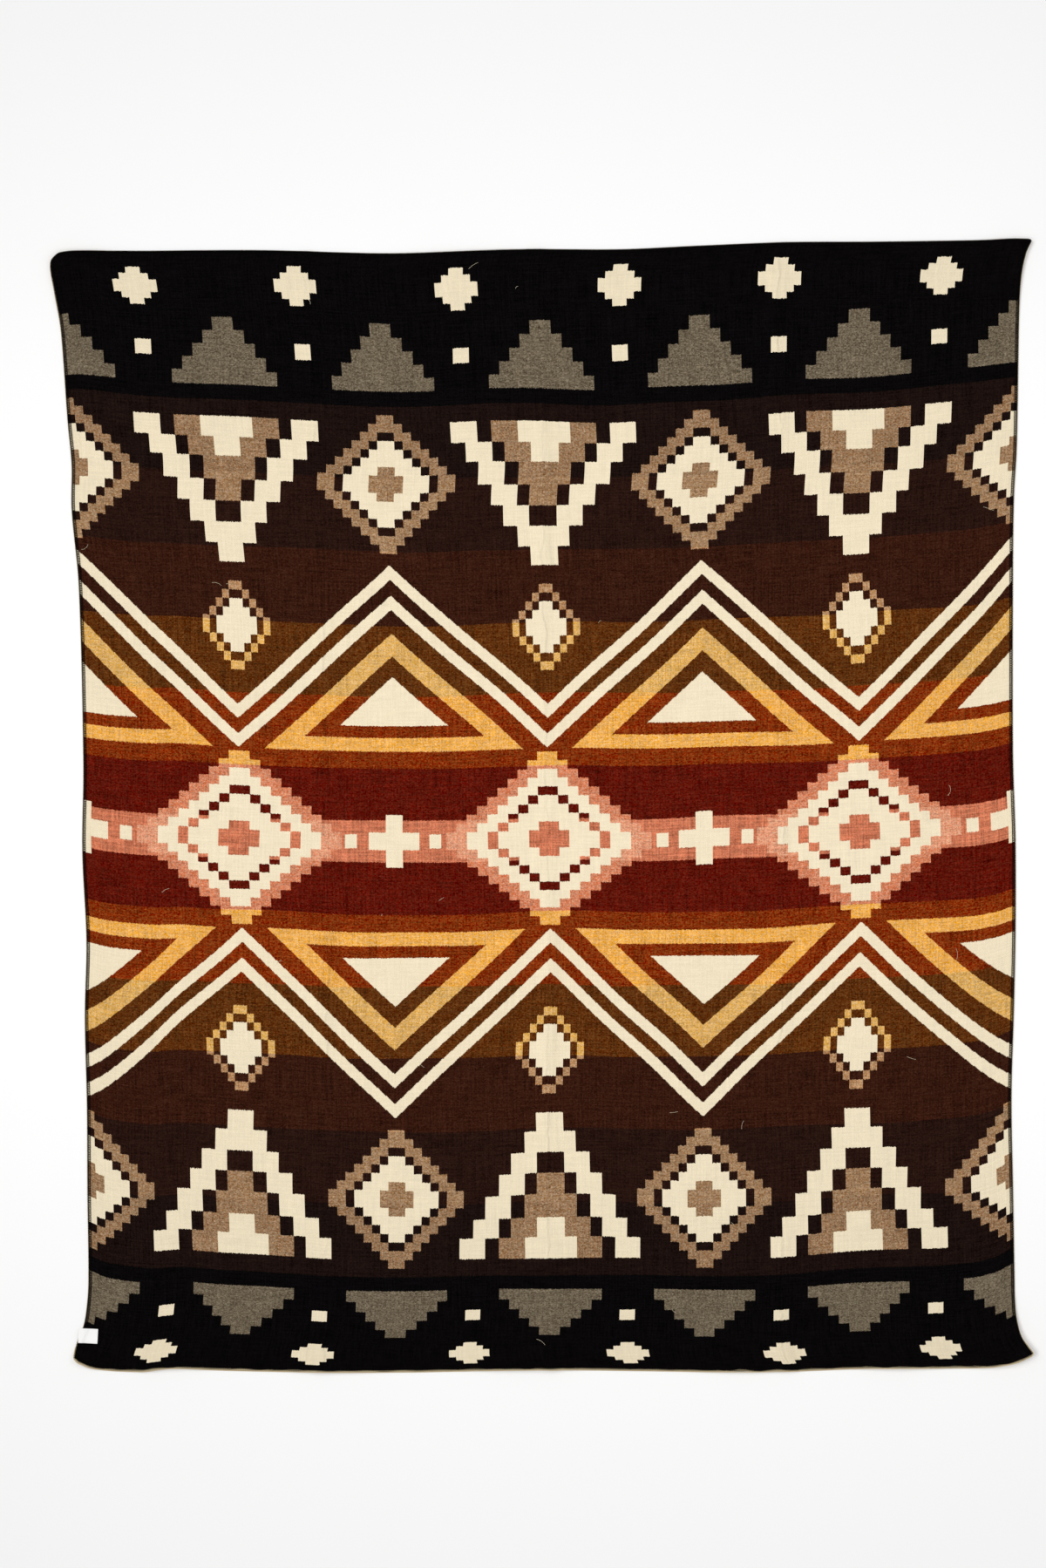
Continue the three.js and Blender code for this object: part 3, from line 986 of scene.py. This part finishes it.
class THROW_OT_sew_label(bpy.types.Operator):
    """Sew the blank label over the edge at the lower left"""

    bl_idname = "throw.sew_label"
    bl_label = "Sew Label"

    COLUMNS, ROWS = 24, 18
    TURN = math.radians(-3)
    CLEAR_OF_CLOTH = 0.0005
    CLEAR_OF_EDGE = 0.007
    CLIMB = 0.0017  # height over the overlock, and the length in which the label climbs it
    CLIMB_LENGTH = 0.008
    CURL = 0.0009  # rise of the loose end, and the depth and number of its waves
    WAVE = 0.0004
    WAVES = 1.3
    STITCHES = 9
    STITCH_RADIUS = 0.0002
    STITCH_ENDS = (0.2, 0.8)  # shares of the stitches' pitch
    STITCH_BEND = 0.02  # share of the label's height in which a stitch dips into it
    STITCH_RISES = (-2, 0.8, 0.8, -2)  # in stitch radii over the label
    SEWN_AT = 0.31  # share of the width where the line of stitches lies, just inside the selvedge

    def execute(self, context):
        sizes, colours = context.scene.throw_sizes, context.scene.throw_colours
        heights = ClothHeights(bpy.data.objects["woven_cloth"])
        middle = (LABEL_LOW + LABEL_HIGH) / 2
        turn = Matrix.Rotation(self.TURN, 2)
        surface = ClothSurface(sizes)
        selvedge_line = (surface.y[:, 0], surface.x[:, 0])

        def rest(share_x, share_y, raised):
            """A point of the label that lies on the cloth and climbs over the overlock at its left end."""
            offset = Vector(((share_x - 0.5) * sizes.label_width, (share_y - 0.5) * sizes.label_height))
            x, y = middle.xy + turn @ offset
            selvedge = np.interp(y, *selvedge_line)
            cloth = heights.at(max(x, selvedge + self.CLEAR_OF_EDGE), y, True, LABEL_LOW.z)
            down = min(max((x - selvedge - self.CLEAR_OF_EDGE) / self.CLIMB_LENGTH, 0), 1)
            climb = self.CLIMB * (1 - down * down * (3 - 2 * down))
            wave = self.WAVE * math.sin(2 * math.pi * self.WAVES * share_y) * share_x
            curl = self.CURL * share_x**4 + wave
            return x, y, cloth + self.CLEAR_OF_CLOTH + climb + curl + raised

        columns, rows = range(self.COLUMNS + 1), range(self.ROWS + 1)
        under, top = (
            [[rest(column / self.COLUMNS, row / self.ROWS, raised) for column in columns] for row in rows]
            for raised in (0, sizes.label_thickness)
        )
        label = two_sided_grid("woven_label", under, top)
        tape = label_material(colours)
        label.data.materials.append(tape)
        label.data.materials.append(tape)
        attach(label, ROOT)
        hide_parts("label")

        raised = [sizes.label_thickness + rise * self.STITCH_RADIUS for rise in self.STITCH_RISES]
        paths = []
        for stitch in range(self.STITCHES):
            low, high = ((stitch + end) / self.STITCHES for end in self.STITCH_ENDS)
            shares = (low, low + self.STITCH_BEND, high - self.STITCH_BEND, high)
            paths.append([rest(self.SEWN_AT, share, rise) for share, rise in zip(shares, raised)])
        thread = thread_material("Label thread", colours.label)
        stitches = thread_mesh("label_stitches", paths, self.STITCH_RADIUS, False, thread)
        return {"FINISHED"}


class THROW_OT_scatter_lint(bpy.types.Operator):
    """Scatter short stray alpaca fibres over the face"""

    bl_idname = "throw.scatter_lint"
    bl_label = "Scatter Lint"

    def execute(self, context):
        heights = ClothHeights(bpy.data.objects["woven_cloth"])
        rng = random.Random(LINT_SEED)
        fibres = []
        while len(fibres) < LINT_COUNT:
            fibre = self.fibre(rng, heights)
            if fibre:
                fibres.append(fibre)
        material = thread_material("Lint", context.scene.throw_colours.cream)
        lint = thread_mesh("lint", fibres, LINT_RADIUS, False, material)
        return {"FINISHED"}

    def fibre(self, rng, heights):
        """Points of one curved fibre, arched off the cloth, or none where it would miss the cloth."""
        x, y = rng.uniform(THROW_LOW.x, THROW_HIGH.x), rng.uniform(THROW_LOW.y, THROW_HIGH.y)
        heading, bend = rng.uniform(0, 2 * math.pi), rng.uniform(-1.6, 1.6)
        last = LINT_POINTS - 1
        step = rng.uniform(*LINT_LENGTHS) / last
        points = []
        for point in range(LINT_POINTS):
            cloth = heights.at(x, y, True, None)
            if cloth is None:
                return None
            points.append((x, y, cloth + LINT_RADIUS + LINT_ARCH * math.sin(math.pi * point / last)))
            heading += bend / last
            x, y = x + step * math.cos(heading), y + step * math.sin(heading)
        return points


class THROW_OT_set_stage(bpy.types.Operator):
    """Lay the pale floor, light it softly and put the camera straight above"""

    bl_idname = "throw.set_stage"
    bl_label = "Set Stage"

    def execute(self, context):
        scene, stage = context.scene, context.scene.throw_stage
        bm = bmesh.new()
        sunk = Matrix.Translation((0, 0, -FLOOR_DROP))
        bmesh.ops.create_grid(bm, x_segments=1, y_segments=1, size=FLOOR_REACH, matrix=sunk)
        floor = new_object("floor", finished_mesh(bm, "floor"))
        material, _, shader = new_material("Pale floor")
        shader.inputs["Base Color"].default_value = (*stage.floor, 1)
        shader.inputs["Emission Color"].default_value = (*stage.floor, 1)
        shader.inputs["Emission Strength"].default_value = stage.floor_glow
        floor.data.materials.append(material)

        world = bpy.data.worlds.new("Studio")
        world.use_nodes = True
        backdrop = world.node_tree.nodes["Background"]
        backdrop.inputs["Color"].default_value = (1, 1, 1, 1)
        backdrop.inputs["Strength"].default_value = stage.fill
        scene.world = world
        scene.view_settings.view_transform = "Standard"

        key = bpy.data.lights.new("Key", "SUN")
        key.angle = KEY_SPREAD
        key.energy = stage.key
        new_object("key", key).rotation_euler = Vector(KEY_FROM).to_track_quat("Z", "Y").to_euler()

        strip = bpy.data.lights.new("Strip", "AREA")
        strip.shape = "RECTANGLE"
        strip.size, strip.size_y = STRIP_SIZE
        strip.energy = stage.strip_power
        softbox = new_object("strip", strip)
        softbox.location = STRIP_PLACE
        softbox.visible_camera = False

        half_height = PHOTO_SIZE[1] / 2 * PHOTO_SCALE
        lens = bpy.data.cameras.new("Overhead")
        lens.sensor_width = SENSOR_MM
        lens.lens = SENSOR_MM / 2 * CAMERA_HEIGHT / half_height
        camera = new_object("camera", lens)
        camera.location = (
            (PHOTO_SIZE[0] / 2 - FRAME_ZERO_PIXEL[0]) * PHOTO_SCALE,
            (FRAME_ZERO_PIXEL[1] - PHOTO_SIZE[1] / 2) * PHOTO_SCALE,
            CAMERA_HEIGHT,
        )
        scene.camera = camera
        return {"FINISHED"}


class THROW_PT_panel(bpy.types.Panel):
    """Sidebar panel that makes the throw step by step"""

    bl_label = "Alpaca Throw"
    bl_idname = "THROW_PT_panel"
    bl_space_type = "VIEW_3D"
    bl_region_type = "UI"
    bl_category = "Throw"

    def draw(self, context):
        for step in STEPS:
            self.layout.operator(step.bl_idname)
        for name, group in GROUPS.items():
            box = self.layout.box()
            for setting in group.__annotations__:
                box.prop(getattr(context.scene, name), setting)


STEPS = (
    THROW_OT_weave_cloth,
    THROW_OT_overlock_edge,
    THROW_OT_sew_label,
    THROW_OT_scatter_lint,
    THROW_OT_set_stage,
)
GROUPS = {"throw_sizes": ThrowSizes, "throw_colours": YarnColours, "throw_stage": StageSettings}
CLASSES = (*GROUPS.values(), *STEPS, THROW_PT_panel)


def register():
    for cls in CLASSES:
        bpy.utils.register_class(cls)
    for name, group in GROUPS.items():
        setattr(bpy.types.Scene, name, PointerProperty(type=group))


def unregister():
    for name in GROUPS:
        delattr(bpy.types.Scene, name)
    for cls in reversed(CLASSES):
        bpy.utils.unregister_class(cls)


def main():
    register()
    bpy.ops.throw.weave_cloth()
    bpy.ops.throw.overlock_edge()
    bpy.ops.throw.sew_label()
    bpy.ops.throw.scatter_lint()
    bpy.ops.throw.set_stage()


if __name__ == "__main__":
    main()
